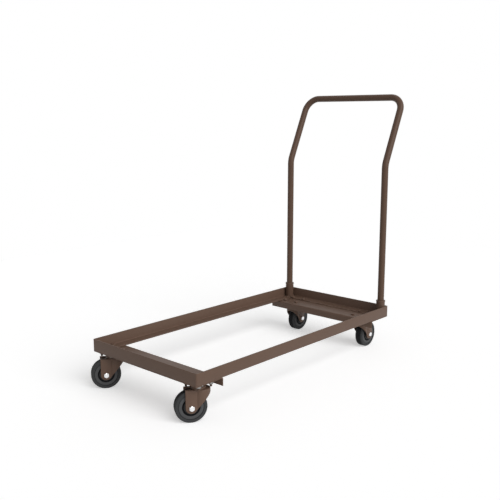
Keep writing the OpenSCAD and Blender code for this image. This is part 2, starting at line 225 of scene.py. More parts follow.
class TrolleyShape(bpy.types.PropertyGroup):
    """Sizes of the trolley's pieces that the frame doesn't give."""

    toe_r: length("Toe radius", "Rounding of the angle's long edges", 1.1)
    root_r: length("Root radius", "Fillet inside the angle", 3.0)
    corner_r: length("Corner radius", "Rounding of the frame's upright corners", 5.0)
    fold_r: length("Fold radius", "Inside radius of the cross plates' folds", 2.0)
    weld_w: length("Weld width", "Width of the weld beads", 4.6)
    lean: rotation("Lean", "Lean of the handle's upper part", math.radians(24.5))
    bend_r: length("Bend radius", "Centreline radius of the handle's lean bends", 80)
    top_r: length("Top radius", "Centreline radius of the handle's top corners", 55)
    tube_t: length("Tube wall", "Wall of the handle tube", 1.5)
    socket_t: length("Socket wall", "Wall of the handle sockets", 3.8)
    collar_h: length("Collar height", "Height of the collar round each socket's mouth", 5)
    socket_fit: length("Socket fit", "Radial clearance of the tube in its sockets", 0.3)
    socket_edge: length("Socket edge", "Rounding of the sockets' edges", 0.8)
    sheet_edge: length("Sheet edge", "Rounding of the edges of plates and pressings", 0.5)
    fork_t: length("Fork sheet", "Thickness of the pressed forks", 2.5)
    press_r: length("Press radius", "Outside radius of the bend round the forks' crowns", 3.2)
    foot_r: length("Foot radius", "Radius of the fork's foot round the axle", 18)
    nose_reach: length("Nose reach", "Reach of the fork's nose ahead of the kingpin", 36.5)
    nose_r: length("Front radius", "Radius of the fork's round front from above", 26.5)
    crease_in: length("Crease", "Distance ahead of the axle where a leg's flat begins", 18)
    skirt_h: length("Skirt depth", "Depth of the fork at its nose", 12)
    hollow_r: length("Hollow radius", "Radius of the hollow leading edge of the fork's legs", 350)
    joggle: length("Joggle", "How far the flat of a leg stands out from the crown's side", 1.0)
    leg_edge: length("Leg edge", "Rounding of the cut edges of a leg's flat", 0.35)
    joggle_r: length("Joggle radius", "Rounding of the edges of a leg's flat", 2.2)
    shoulder_drop: length("Shoulder drop", "Drop from the crown to the top of a leg's flat", 2.5)
    tail_flange: length("Tail flange", "Width of the crown's flange over each leg", 9)
    plate_r: length("Plate corner", "Corner radius of the caster plates", 6)
    race_edge: length("Race edge", "Rounding of the races' edges", 0.4)
    race_lead: length("Race lead", "How far the races' outer edges are rolled in", 1.6)
    race_sunk: length("Race seat", "How far the upper races sit in their plates", 0.5)
    race_bore_r: length("Race bore", "Bore radius of the swivel races", 12)
    swivel_fit: length("Swivel fit", "Radial clearance of the forks on their kingpins", 0.1)
    kingpin_d: length("Kingpin", "Diameter of the kingpins", 12)
    kingpin_flats: length("Kingpin nut", "Width across the kingpin nuts' flats", 19)
    bolt_d: length("Bolt", "Diameter of the caster bolts", 8)
    bolt_flats: length("Bolt flats", "Width across the flats of the bolt heads and nuts", 13)
    bolt_gap_x: length("Bolt spacing along", "Spacing of the caster bolts along the trolley", 50)
    bolt_gap_y: length("Bolt spacing across", "Spacing of the caster bolts across the trolley", 56)
    bolt_end: length("Bolt ends", "How far the bolts' threaded ends reach below those of the solids", 5.5)
    washer_r: length("Washer radius", "Outside radius of the spring washers", 7)
    washer_edge: length("Washer edge", "Rounding of the washers' edges", 0.25)
    thread_pitch: length("Thread pitch", "Pitch of the threads that stand out past the nuts", 1.25)
    axle_d: length("Axle", "Diameter of the axle bolts", 10)
    axle_flats: length("Axle flats", "Width across the flats of the axle heads and nuts", 15)
    shoulder_r: length("Tyre shoulder", "Radius of the tyres' shoulders", 4)
    hub_r: length("Hub radius", "Outside radius of the wheels' hubs", 13)
    sleeve_r: length("Sleeve radius", "Radius of the axle sleeves", 7)
    run_fit: length("Running fit", "Radial clearance of the wheels on their sleeves", 0.05)
    web_t: length("Web", "Thickness of the wheel cores' webs", 8)
    # The black on the tyre step is painted shade in the groove between tyre and core.
    tyre_step: length("Tyre step", "Width and depth of the black step between a tyre and its core", 1.4)
    mould_line: length("Mould line", "Depth of the tyres' mould line", 0.25)
    mould_edge: length("Mould edge", "Rounding of the edges of the cores and covers", 0.3)
    # The dark of the running surface is partly the rubber's own black and partly painted shade.
    tread_w: length("Tread width", "Width of the tyres' dark running surface", 17)
    cover_t: length("Cover thickness", "Thickness of the dust covers", 1.2)
    cover_top_r: length("Cover top", "Radius of the dust covers' raised middles", 23)
    # The black on the step round each dust cover is painted shade in that recess.
    seat_w: length("Cover seat", "Width of the black step round the dust covers", 1.3)
    seat_d: length("Seat depth", "Depth of that step", 1.5)
    lip_t: length("Cover lip", "Thickness of the dust covers' raised edges", 0.7)
    lip_drop: length("Lip drop", "Drop from the rim to the top of those edges", 1.2)


class TrolleyFinish(bpy.types.PropertyGroup):
    """Colours and gloss of the trolley's finishes."""

    paint: colour("Powder coat", "Brown powder coat of the steel", 0.138, 0.085, 0.060)
    paint_dark: colour("Powder coat shade", "Darker cloud in the powder coat", 0.116, 0.070, 0.049)
    paint_rough: share("Powder coat roughness", "Roughness of the powder coat", 0.46)
    # The handle's colour is the powder coat darkened as painted shade, standing in for the dimmer light
    # high up on the handle.
    handle: colour("Handle coat", "Powder coat of the drawn handle tube", 0.122, 0.072, 0.049)
    handle_rough: share("Handle roughness", "Roughness of the coat on the smooth handle tube", 0.42)
    zinc: colour("Zinc", "Bright zinc plate of the axle bolts, kingpins and their nuts", 0.92, 0.93, 0.94)
    zinc_rough: share("Zinc roughness", "Roughness of the zinc plate", 0.28)
    steel: colour("Dull steel", "Dull plate of the nuts, washers and axle sleeves", 0.28, 0.275, 0.265)
    rubber: colour("Rubber", "Sides of the tyres", 0.041, 0.042, 0.043)
    rubber_worn: colour("Rubber bloom", "Paler bloom on the tyres' sides", 0.052, 0.053, 0.054)
    core: colour("Wheel core", "Moulded wheel cores", 0.078, 0.079, 0.081)
    # On the covers' channels, the cores' seats and the tyre steps this black is painted shade; on the
    # treads it is partly the rubber's own black and partly painted shade.
    tread: colour("Tread", "Black of the tyres' treads and the covers' channels", 0.010, 0.010, 0.011)
    cover: colour("Dust cover", "Moulded dust covers", 0.035, 0.036, 0.037)


class TrolleyStudio(bpy.types.PropertyGroup):
    """The camera and the light."""

    camera_place: bpy.props.FloatVectorProperty(
        name="Camera",
        description="Place of the camera",
        default=(-1.9341, -1.7111, 0.9052),
        subtype="XYZ",
        unit="LENGTH",
    )
    camera_pan: rotation("Pan", "Turn of the camera from +Y towards +X", 0.8334)
    camera_tilt: rotation("Tilt", "Angle of the camera below the horizon", 0.183)
    lens: amount("Lens", "Focal length in millimetres", 52.03)
    sun_height: length("Key height", "Height at which the key light is drawn", 3000)
    sun_strength: amount("Key light", "Strength of the soft key light", 2.2)
    sun_spread: rotation("Key softness", "Width of the key light", math.radians(55))
    sun_turn: bpy.props.FloatVectorProperty(
        name="Key turn",
        description="Turn of the key light",
        default=(math.radians(56), 0, math.radians(-10)),
        subtype="EULER",
    )
    ambient: share("Ambient", "Strength of the even light from all round", 0.22)
    floor: colour("Floor", "Pale studio floor", 0.93, 0.93, 0.93)
    floor_lift: colour("Floor lift", "What the camera sees of the floor beyond its light", 0.43, 0.43, 0.43)
    floor_size: length("Floor size", "Width of the studio floor", 5000)
    floor_drop: length("Floor drop", "Gap between the tyres and the floor", 0.1)


# Modelling by hand: a primitive or an outline, shaped in edit mode


def focus(*pieces):
    """Selects some objects and makes the first one active."""
    bpy.ops.object.select_all(action="DESELECT")
    for piece in pieces:
        piece.select_set(True)
    bpy.context.view_layer.objects.active = pieces[0]


def edit(piece):
    bpy.context.view_layer.objects.active = piece
    bpy.ops.object.mode_set(mode="EDIT")


def leave_edit():
    bpy.ops.object.mode_set(mode="OBJECT")


def settle():
    """Puts the place and size of the selected object into its mesh."""
    bpy.ops.object.transform_apply(location=True, rotation=True, scale=True)


def take(name):
    """The primitive that was just added, under its name and with its place and size in its mesh."""
    settle()
    piece = bpy.context.active_object
    piece.name = name
    return piece


def discard(*models):
    for model in models:
        bpy.data.objects.remove(model)


def pick(piece, kind, test):
    """Selects the vertices, edges or faces that pass a test on a piece in edit mode."""
    bpy.ops.mesh.select_mode(type={"verts": "VERT", "edges": "EDGE", "faces": "FACE"}[kind])
    bpy.ops.mesh.select_all(action="DESELECT")
    cage = bmesh.from_edit_mesh(piece.data)
    for item in getattr(cage, kind):
        if test(item):
            item.select_set(True)
    bmesh.update_edit_mesh(piece.data)


def select_all():
    bpy.ops.mesh.select_all(action="SELECT")


def extrude(step):
    bpy.ops.mesh.extrude_region_move(TRANSFORM_OT_translate={"value": step})


def close_up():
    """Merges what meets and turns the faces outwards."""
    select_all()
    bpy.ops.mesh.remove_doubles(threshold=MERGED)
    bpy.ops.mesh.normals_make_consistent(inside=False)


def turn(centre, axis, angle, steps):
    """Sweeps the selection round an axis; spin itself turns left-handed."""
    bpy.ops.mesh.spin(steps=steps, angle=-angle, center=centre, axis=axis)


class Pencil:
    """Draws an outline by extruding one vertex along lines and arcs."""

    def __init__(self, name, start):
        bpy.ops.mesh.primitive_plane_add(size=MM, location=start)
        self.piece = take(name)
        self.start = Vector(start)
        self.tip = Vector(start)
        edit(self.piece)
        bpy.ops.mesh.select_mode(type="VERT")
        select_all()
        bpy.ops.mesh.merge(type="CENTER")

    def line(self, *points):
        for point in points:
            extrude(Vector(point) - self.tip)
            self.tip = Vector(point)
        return self

    def arc(self, centre, axis, degrees, steps):
        angle = math.radians(degrees)
        turn(centre, axis, angle, steps)
        self.tip = Vector(centre) + Matrix.Rotation(angle, 3, axis) @ (self.tip - Vector(centre))
        return self

    def close(self):
        """Draws the last line back to the start and joins the ends."""
        extrude(self.start - self.tip)
        select_all()
        bpy.ops.mesh.remove_doubles(threshold=MERGED)
        return self

    def fill(self):
        self.close()
        bpy.ops.mesh.edge_face_add()
        return self

    def solid(self, step):
        """Fills the outline and pulls it out into a solid."""
        self.fill()
        extrude(step)
        close_up()
        leave_edit()
        return self.piece

    def revolve(self, axis, steps, angle=math.tau):
        """Turns the outline round an axis through the origin."""
        select_all()
        turn(ORIGIN, axis, angle, steps)
        close_up()
        leave_edit()
        return self.piece


def ring(name, axis, across, profile, steps):
    """A solid of revolution from a closed profile of (radius, distance along the axis)."""
    points = [across * radius + axis * along for radius, along in profile]
    return Pencil(name, points[0]).line(*points[1:]).close().revolve(axis, steps)


def apply_modifier(piece, kind, **settings):
    focus(piece)
    modifier = piece.modifiers.new(kind.title(), kind)
    for setting, value in settings.items():
        setattr(modifier, setting, value)
    bpy.ops.object.modifier_apply(modifier=modifier.name)
    return piece


def soften(piece, width, segments=2, angle=35):
    """Rounds the sharp edges."""
    return apply_modifier(
        piece,
        "BEVEL",
        width=width,
        segments=segments,
        limit_method="ANGLE",
        angle_limit=math.radians(angle),
        use_clamp_overlap=True,
    )


def carve(piece, cutter, operation):
    """Keeps what two solids share, or cuts one from the other, and removes the cutter."""
    apply_modifier(piece, "BOOLEAN", object=cutter, operation=operation, solver="EXACT")
    discard(cutter)
    return piece


def block(name, bottom, top):
    """A block between two opposite corners."""
    bpy.ops.mesh.primitive_cube_add(size=1, location=(bottom + top) / 2)
    bpy.context.active_object.scale = top - bottom
    return take(name)


def copy_to(model, name, place):
    """A copy with its own mesh at its place, with that place in the mesh."""
    focus(model)
    bpy.ops.object.duplicate(linked=False)
    made = bpy.context.active_object
    made.name = name
    made.matrix_world = place
    settle()
    return made


def copies(model, places):
    """A copy of a model at each place."""
    return [copy_to(model, model.name + "_copy", place) for place in places]


def join(name, pieces):
    focus(*pieces)
    bpy.ops.object.join()
    pieces[0].name = name
    return pieces[0]


def dress(piece, body, slot, *nodes, smooth=32, look=None):
    """Cleans, smooths and paints a piece, and lets it ride on its body in place of its CAD nodes."""
    focus(piece)
    edit(piece)
    select_all()
    bpy.ops.mesh.dissolve_degenerate(threshold=NEAR)
    leave_edit()
    bpy.ops.object.shade_smooth_by_angle(angle=math.radians(smooth))
    piece.data.name = piece.name
    piece.data.materials.clear()
    piece.data.materials.append(finish(look or slot))
    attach(piece, body)
    if nodes:
        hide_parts(*nodes)
    return piece


def put(model, name, place, body, slot, node):
    """A dressed copy of a model at its place."""
    return dress(copy_to(model, name, place), body, slot, node)


def paint_node(node, slot):
    """Gives a CAD node that stays in view its finish."""
    piece = frame["nodes"][node]
    piece.data.materials.clear()
    piece.data.materials.append(finish(slot))


def frame_place(angle, offset):
    """From a rail's own frame, with the outer face on Y = 0, to one side of the trolley's frame."""
    centre = Matrix.Translation((FRAME_X, FRAME_Y, FRAME_Z))
    return centre @ Matrix.Rotation(math.radians(angle), 4, "Z") @ Matrix.Translation((0, -offset, 0))


# Shader maths and finishes


class Value:
    """A shader socket in an expression: arithmetic on it adds Math nodes."""

    def __init__(self, tree, socket):
        self.tree = tree
        self.socket = socket

    def output(self, name):
        """Another output of the same node."""
        return Value(self.tree, self.socket.node.outputs[name])

    def math(self, operation, first, second):
        return self.tree.node("ShaderNodeMath", {"operation": operation}, {0: first, 1: second})

    def __add__(self, other):
        return self.math("ADD", self, other)

    def __radd__(self, other):
        return self.math("ADD", other, self)

    def __sub__(self, other):
        return self.math("SUBTRACT", self, other)

    def __rsub__(self, other):
        return self.math("SUBTRACT", other, self)

    def __mul__(self, other):
        return self.math("MULTIPLY", self, other)

    def __rmul__(self, other):
        return self.math("MULTIPLY", other, self)


class Tree:
    """The nodes of a material or a world."""

    def __init__(self, owner):
        owner.use_nodes = True
        self.nodes = owner.node_tree.nodes
        self.links = owner.node_tree.links
        self.nodes.clear()

    def node(self, kind, settings=None, sockets=None, output=0):
        """Adds a node: its settings first, then the values or links of its sockets."""
        made = self.nodes.new(kind)
        for setting, value in (settings or {}).items():
            setattr(made, setting, value)
        for key, value in (sockets or {}).items():
            if isinstance(value, Value):
                self.links.new(value.socket, made.inputs[key])
            else:
                made.inputs[key].default_value = value
        return Value(self, made.outputs[output]) if made.outputs else None

    def noise(self, scale, detail, roughness=0.5):
        """Noise on the object's own coordinates; scale is in cells per metre."""
        place = self.node("ShaderNodeTexCoord", output="Object")
        sockets = {"Vector": place, "Scale": scale, "Detail": detail, "Roughness": roughness}
        return self.node("ShaderNodeTexNoise", {}, sockets, output="Fac")

    def mix(self, factor, first, second):
        """A colour between two colours."""
        sockets = {0: factor, 6: (*first, 1), 7: (*second, 1)}
        return self.node("ShaderNodeMix", {"data_type": "RGBA"}, sockets, output=2)

    def seen(self):
        """1 where a ray comes from the camera, or from a mirror or glass in its view, and 0 elsewhere."""
        ray = self.node("ShaderNodeLightPath", output="Is Camera Ray")
        seen = ray + ray.output("Is Glossy Ray") + ray.output("Is Transmission Ray")
        return seen.math("MINIMUM", seen, 1.0)

    def bump(self, height, strength, distance):
        sockets = {"Strength": strength, "Distance": distance, "Height": height}
        return self.node("ShaderNodeBump", {}, sockets, output="Normal")

    def surface(self, **sockets):
        """The finished surface, from the sockets of a Principled shader."""
        named = {name.replace("_", " "): value for name, value in sockets.items()}
        shader = self.node("ShaderNodeBsdfPrincipled", {}, named, output="BSDF")
        self.node("ShaderNodeOutputMaterial", {}, {"Surface": shader})


def tint(paint, factor):
    """A darker or paler shade of a colour."""
    return tuple(factor * part for part in paint)


def coat(tree, dark, light, rough, gloss, depth):
    """Satin powder coat: a fine grain over a soft orange peel, with faint clouds in the colour."""
    cloud = tree.noise(scale=14, detail=3)
    peel = tree.noise(scale=420, detail=1)
    grain = tree.noise(scale=1900, detail=2, roughness=0.6)
    shade = 0.7 * cloud + 0.3 * grain
    relief = 0.6 * peel + 0.4 * grain
    tree.surface(
        Base_Color=tree.mix(shade, dark, light),
        Roughness=rough - 0.06 + 0.12 * grain,
        Normal=tree.bump(relief, strength=0.2, distance=depth),
        Specular_IOR_Level=gloss,
    )


def powder_coat(tree, look):
    """The coat on the rolled and pressed steel."""
    coat(tree, look.paint_dark, look.paint, look.paint_rough, gloss=0.25, depth=0.06 * MM)


def handle_coat(tree, look):
    """The same coat on the drawn tube, which is smoother, with its colour a little darker as painted shade
    for the dimmer light up on the handle.
    """
    coat(tree, tint(look.handle, 0.85), look.handle, look.handle_rough, gloss=0.18, depth=0.03 * MM)


def zinc(tree, look):
    """Bright zinc plate with a faint crystal mottle."""
    mottle = tree.noise(scale=700, detail=2)
    scratch = tree.noise(scale=2600, detail=3, roughness=0.7)
    tree.surface(
        Base_Color=tree.mix(mottle, tint(look.zinc, 0.92), look.zinc),
        Metallic=1.0,
        Roughness=look.zinc_rough - 0.05 + 0.12 * scratch,
        Normal=tree.bump(scratch, strength=0.15, distance=0.03 * MM),
    )


def plain_steel(tree, look):
    """Dull plated steel with an oily film."""
    film = tree.noise(scale=300, detail=3)
    tree.surface(
        Base_Color=tree.mix(film, tint(look.steel, 0.8), look.steel),
        Metallic=1.0,
        Roughness=0.4 + 0.16 * film,
    )


def tyre(tree, look):
    """Matt rubber with a dusty bloom and a fine moulded grain."""
    bloom = tree.noise(scale=55, detail=5, roughness=0.62)
    grain = tree.noise(scale=1500, detail=3)
    tree.surface(
        Base_Color=tree.mix(bloom, look.rubber, look.rubber_worn),
        Roughness=0.62 + 0.22 * grain,
        Normal=tree.bump(grain, strength=0.3, distance=0.1 * MM),
        Specular_IOR_Level=0.15,
    )


def tread(tree, look):
    """Black where the tyre runs, partly the rubber's own black and partly painted shade, and black as
    painted shade in the covers' channels and the grooves round the cores, with a fine wear grain.
    """
    wear = tree.noise(scale=900, detail=3)
    tree.surface(
        Base_Color=tree.mix(wear, look.tread, tint(look.tread, 1.6)),
        Roughness=0.6 + 0.2 * wear,
        Normal=tree.bump(wear, strength=0.3, distance=0.1 * MM),
        Specular_IOR_Level=0.1,
    )


def wheel_core(tree, look):
    """Moulded core with a spark-eroded grain."""
    grain = tree.noise(scale=1300, detail=2)
    flow = tree.noise(scale=40, detail=3)
    tree.surface(
        Base_Color=tree.mix(flow, tint(look.core, 0.85), look.core),
        Roughness=0.5 + 0.16 * grain,
        Normal=tree.bump(grain, strength=0.22, distance=0.08 * MM),
        Specular_IOR_Level=0.2,
    )


def dust_cover(tree, look):
    """Dark moulded cover, a little glossier than the core."""
    grain = tree.noise(scale=1700, detail=2)
    tree.surface(
        Base_Color=tree.mix(grain, tint(look.cover, 0.85), look.cover),
        Roughness=0.38 + 0.14 * grain,
        Normal=tree.bump(grain, strength=0.15, distance=0.05 * MM),
        Specular_IOR_Level=0.1,
    )


FINISHES = {
    paint.__name__: paint
    for paint in (powder_coat, handle_coat, zinc, plain_steel, tyre, tread, wheel_core, dust_cover)
}


def finish(slot):
    """The material of one of the record's slots, of the tread with the painted shade in the wheels'
    grooves, or of the handle with its painted shade, made when first asked for.
    """
    name = "trolley_" + slot
    if name not in bpy.data.materials:
        FINISHES[slot](Tree(bpy.data.materials.new(name)), bpy.context.scene.trolley_finish)
    return bpy.data.materials[name]


# Fasteners


def hex_solid(name, flats, height, bore_r=0.0, chamfer_foot=False):
    """A hexagon on Z = 0 with its corners turned off at 30 degrees, and a bore if it is a nut."""
    corner_r = flats / math.sqrt(3)
    face_r = CHAMFER_SHARE * flats
    drop = (corner_r - face_r) * math.tan(CHAMFER)
    foot_r = face_r if chamfer_foot else corner_r
    foot_drop = drop if chamfer_foot else 0.0
    bpy.ops.mesh.primitive_cylinder_add(vertices=6, radius=corner_r, depth=height, location=Z * height / 2)
    piece = take(name)
    profile = [(bore_r, 0), (foot_r, 0), (corner_r + NEAR, foot_drop), (corner_r + NEAR, height - drop)]
    profile += [(face_r, height), (bore_r, height)]
    profile = [spot for number, spot in enumerate(profile) if number == 0 or spot != profile[number - 1]]
    carve(piece, ring("turned", Z, X, profile, HEX_STEPS), "INTERSECT")
    return soften(piece, HEX_EDGE, segments=1)


def threaded_end(name, diameter, pitch, bottom, top):
    """A bolt's shank from top down to bottom, threaded all the way, with a chamfered end."""
    crest = diameter / 2
    root = crest - THREAD_SHARE * pitch
    turns = max(1, int((top - bottom) / pitch))
    profile = [(0, top), (crest, top)]
    for number in range(turns):
        profile.append((root, top - (number + 0.5) * pitch))
        profile.append((crest, top - (number + 1) * pitch))
    profile[-1] = (root, bottom)
    profile.append((0, bottom))
    return ring(name, Z, X, profile, THREAD_STEPS)


def bolt_spots(shape):
    """Every caster bolt's place, with the height of its head's seat."""
    spots = []
    reach = FLANGE_W + shape.bolt_flats / math.sqrt(3)
    for corner in CORNERS:
        for along in (-0.5, 0.5):
            for across in (-0.5, 0.5):
                x = KINGPIN[corner].x + along * shape.bolt_gap_x
                y = KINGPIN[corner].y + across * shape.bolt_gap_y
                from_edge = min(FRAME_L / 2 - abs(x - FRAME_X), FRAME_W / 2 - abs(y - FRAME_Y))
                on_flange = from_edge < reach
                spots.append((x, y, FLANGE_Z if on_flange else FRAME_Z))
    return spots


# Operators, one for each piece or group of like pieces


class TROLLEY_OT_stage(bpy.types.Operator):
    """Set up the camera, the pale floor and the soft light"""

    bl_idname = "trolley.stage"
    bl_label = "Studio"

    def execute(self, context):
        studio = context.scene.trolley_studio
        aim = (math.pi / 2 - studio.camera_tilt, 0, -studio.camera_pan)
        bpy.ops.object.camera_add(location=studio.camera_place, rotation=aim)
        camera = context.active_object
        camera.name = "studio_camera"
        camera.data.lens = studio.lens
        context.scene.camera = camera
        context.scene.view_settings.view_transform = "Standard"
        self.light(context, studio)
        self.floor(studio)
        return {"FINISHED"}

    def light(self, context, studio):
        bpy.ops.object.light_add(type="SUN", location=Z * studio.sun_height, rotation=studio.sun_turn)
        sun = context.active_object
        sun.name = "key_light"
        sun.data.energy = studio.sun_strength
        sun.data.angle = studio.sun_spread
        world = bpy.data.worlds.new("studio_world")
        context.scene.world = world
        tree = Tree(world)
        strength = studio.ambient + (1 - studio.ambient) * tree.seen()
        sky = tree.node("ShaderNodeBackground", {}, {"Color": (1, 1, 1, 1), "Strength": strength})
        tree.node("ShaderNodeOutputWorld", {}, {"Surface": sky})

    def floor(self, studio):
        bpy.ops.mesh.primitive_plane_add(size=studio.floor_size, location=-Z * studio.floor_drop)
        floor = bpy.context.active_object
        floor.name = "studio_floor"
        material = bpy.data.materials.new("studio_floor")
        tree = Tree(material)
        lift = tree.mix(tree.seen(), (0, 0, 0), studio.floor_lift)
        tree.surface(
            Base_Color=(*studio.floor, 1),
            Roughness=0.9,
            Specular_IOR_Level=0.1,
            Emission_Color=lift,
            Emission_Strength=1.0,
        )
        floor.data.materials.append(material)


class TROLLEY_OT_rails(bpy.types.Operator):
    """Roll the angle of the frame and mitre it at the corners"""

    bl_idname = "trolley.rails"
    bl_label = "Rails"

    def execute(self, context):
        shape = context.scene.trolley_shape
        side = self.rail("side_rail", FRAME_L, shape)
        end = self.rail("end_rail", FRAME_W, shape)
        spots = (
            ("side_rail_left", side, 0, FRAME_W / 2),
            ("side_rail_right", side, 180, FRAME_W / 2),
            ("end_rail_front", end, -90, FRAME_L / 2),
            ("end_rail_rear", end, 90, FRAME_L / 2),
        )
        for node, model, angle, offset in spots:
            put(model, "rolled_" + node, frame_place(angle, offset), "frame", "powder_coat", node)
        discard(side, end)
        return {"FINISHED"}

    def rail(self, name, size, shape):
        """Angle along X, outer face on Y = 0 and underside on Z = 0, cut at 45 degrees at both ends."""
        toe = shape.toe_r
        root = shape.root_r
        x = -size / 2

        def at(y, z):
            return Vector((x, y, z))

        pencil = Pencil(name, at(toe, 0))
        pencil.line(at(FLANGE_W - toe, 0)).arc(at(FLANGE_W - toe, toe), X, 90, TOE_STEPS)
        pencil.line(at(FLANGE_W, ANGLE_T - toe)).arc(at(FLANGE_W - toe, ANGLE_T - toe), X, 90, TOE_STEPS)
        pencil.line(at(ANGLE_T + root, ANGLE_T)).arc(at(ANGLE_T + root, ANGLE_T + root), X, -90, ROOT_STEPS)
        pencil.line(at(ANGLE_T, LEG_H - toe)).arc(at(ANGLE_T - toe, LEG_H - toe), X, 90, TOE_STEPS)
        pencil.line(at(toe, LEG_H)).arc(at(toe, LEG_H - toe), X, 90, TOE_STEPS)
        pencil.line(at(0, toe)).arc(at(toe, toe), X, 90, TOE_STEPS)
        piece = pencil.solid(X * size)
        edit(piece)
        for end in (-1, 1):
            self.cut(Vector((end * size / 2, 0, 0)), Vector((end, 1, 0)))
            self.round_corner(end, size, shape.corner_r)
        close_up()
        leave_edit()
        return piece

    def cut(self, point, outwards):
        select_all()
        bpy.ops.mesh.bisect(plane_co=point, plane_no=outwards, use_fill=True, clear_outer=True)

    def round_corner(self, end, size, radius, facets=4):
        """Takes the sharp upright corner down to half of a round one: the next rail has the other half."""
        centre = Vector((end * (size / 2 - radius), radius, 0))
        for number in range(facets):
            angle = math.radians(45) * (number + 0.5) / facets
            outwards = Vector((end * math.sin(angle), -math.cos(angle), 0))
            self.cut(centre + radius * outwards, outwards)


class TROLLEY_OT_cross_plates(bpy.types.Operator):
    """Fold the two plates that the casters are bolted to"""

    bl_idname = "trolley.cross_plates"
    bl_label = "Cross plates"

    def execute(self, context):
        shape = context.scene.trolley_shape
        for end, angle in (("front", -90), ("rear", 90)):
            node = "cross_plate_" + end
            model = self.plate(span(node, "x"), shape)
            put(model, "folded_" + node, frame_place(angle, FRAME_L / 2), "frame", "powder_coat", node)
            discard(model)
        return {"FINISHED"}

    def plate(self, reach, shape):
        """A plate from its outer edge on Y = 0 to its lip, top on Z = 0, across the whole frame along X."""
        inner = shape.fold_r
        outer = inner + CROSS_T
        x = -FRAME_W / 2

        def at(y, z):
            return Vector((x, y, z))

        fold = at(reach - outer, -outer)
        pencil = Pencil("cross_plate", at(0, 0))
        pencil.line(at(0, -CROSS_T), at(reach - outer, -CROSS_T)).arc(fold, X, -90, steps=4)
        pencil.line(at(reach - CROSS_T, -LIP_H), at(reach, -LIP_H), at(reach, -outer))
        pencil.arc(fold, X, 90, steps=6)
        piece = pencil.solid(X * FRAME_W)
        edit(piece)

        def outer_upright(edge):
            first, second = (v.co for v in edge.verts)
            return max(abs(first.y), abs(second.y), abs(first.x - second.x)) < NEAR

        pick(piece, "edges", outer_upright)
        bpy.ops.mesh.bevel(offset=shape.corner_r, segments=5, affect="EDGES")
        leave_edit()
        return soften(piece, shape.sheet_edge)


class TROLLEY_OT_sockets(bpy.types.Operator):
    """Turn the two sockets that the handle stands in, with a collar round each mouth"""

    bl_idname = "trolley.sockets"
    bl_label = "Sockets"

    def execute(self, context):
        shape = context.scene.trolley_shape
        bore_r = TUBE_R + shape.socket_fit
        body_r = bore_r + shape.socket_t
        collar_z = SOCKET_TOP - shape.collar_h
        profile = [(bore_r, FLANGE_Z), (body_r, FLANGE_Z), (body_r, collar_z), (COLLAR_R, collar_z)]
        profile += [(COLLAR_R, SOCKET_TOP), (bore_r, SOCKET_TOP)]
        model = soften(ring("socket", Z, X, profile, RACE_STEPS), shape.socket_edge, segments=3)
        for side, y in zip(SIDES, (FRAME_Y - POST_OFF, FRAME_Y + POST_OFF)):
            place = Matrix.Translation((POST_X, y, 0))
            put(model, "collared_socket_" + side, place, "frame", "powder_coat", "handle_socket_" + side)
        discard(model)
        return {"FINISHED"}


class TROLLEY_OT_handle(bpy.types.Operator):
    """Bend the push handle from one length of tube"""

    bl_idname = "trolley.handle"
    bl_label = "Handle"

    def execute(self, context):
        shape = context.scene.trolley_shape
        lean = shape.lean
        slant = Vector((math.sin(lean), 0, math.cos(lean)))
        hoop_axis = slant.cross(Y)
        bend_run = shape.bend_r * math.tan(lean / 2)
        corner_z = BAR_Z - (high("handle_tube").x - TUBE_R - POST_X) / math.tan(lean)
        post_l = corner_z - bend_run - FOOT_Z
        slant_l = (BAR_Z - corner_z) / math.cos(lean) - bend_run - shape.top_r
        bar_l = 2 * (POST_OFF - shape.top_r)
        first = Vector((POST_X, FRAME_Y - POST_OFF, FOOT_Z))
        bpy.ops.mesh.primitive_circle_add(vertices=TUBE_STEPS, radius=TUBE_R, location=first)
        piece = take("bent_handle")
        edit(piece)
        select_all()
        bend_centre = first + X * shape.bend_r + Z * post_l
        extrude(Z * post_l)
        turn(bend_centre, Y, lean, LEAN_STEPS)
        tip = bend_centre - shape.bend_r * slant.cross(-Y)
        extrude(slant * slant_l)
        tip = tip + slant * slant_l + Y * shape.top_r
        turn(tip, hoop_axis, math.pi / 2, TOP_STEPS)
        extrude(Y * bar_l)
        turn(tip + Y * bar_l, hoop_axis, math.pi / 2, TOP_STEPS)
        extrude(-slant * slant_l)
        turn(bend_centre + Y * 2 * POST_OFF, Y, -lean, LEAN_STEPS)
        extrude(-Z * post_l)
        close_up()
        leave_edit()
        apply_modifier(piece, "SOLIDIFY", thickness=shape.tube_t, offset=-1.0, use_even_offset=True)
        # The handle's coat is the powder coat darkened as painted shade.
        dress(piece, "handle", "powder_coat", "handle_tube", smooth=40, look="handle_coat")
        return {"FINISHED"}


